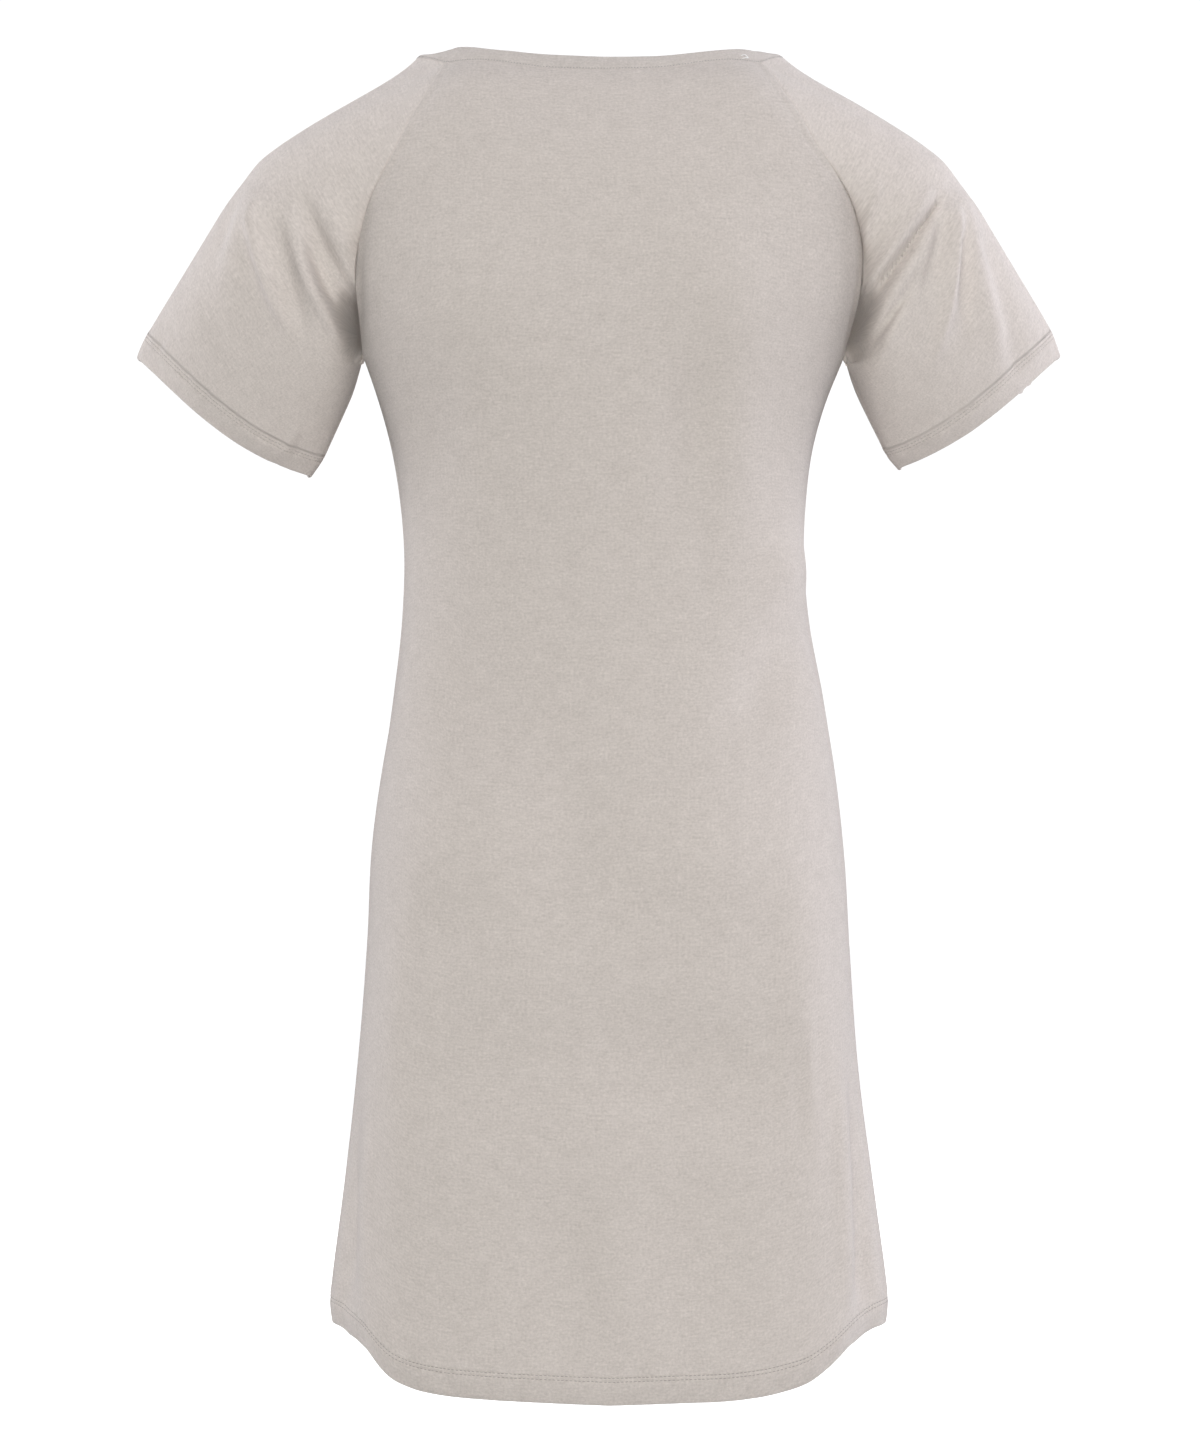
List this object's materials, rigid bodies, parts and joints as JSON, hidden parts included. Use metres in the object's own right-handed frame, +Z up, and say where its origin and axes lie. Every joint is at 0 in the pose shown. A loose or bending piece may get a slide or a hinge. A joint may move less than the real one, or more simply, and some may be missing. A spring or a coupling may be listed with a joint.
{
  "type": "short-sleeved raglan t-shirt dress",
  "caption": "Short cotton jersey dress with raglan sleeves, a bound scoop neck and a turned-up shirttail hem, hollow and filled out as if worn.",
  "frame": {"origin": "midway between the two places beside the neck where the wearer's shoulders carry the dress", "axes": "+Z up, the front of the dress faces -Y and its back +Y, the wearer's left is +X"},
  "size_m": [0.631, 0.2746, 0.8617],
  "materials": {
    "jersey": "matte heather single jersey",
    "binding_jersey": "matte heather jersey, doubled"
  },
  "bodies": {
    "root": {"back_panel": "jersey", "front_panel": "jersey", "sleeve_left": "jersey", "sleeve_right": "jersey", "neck_binding": "binding_jersey"}
  },
  "joints": []
}
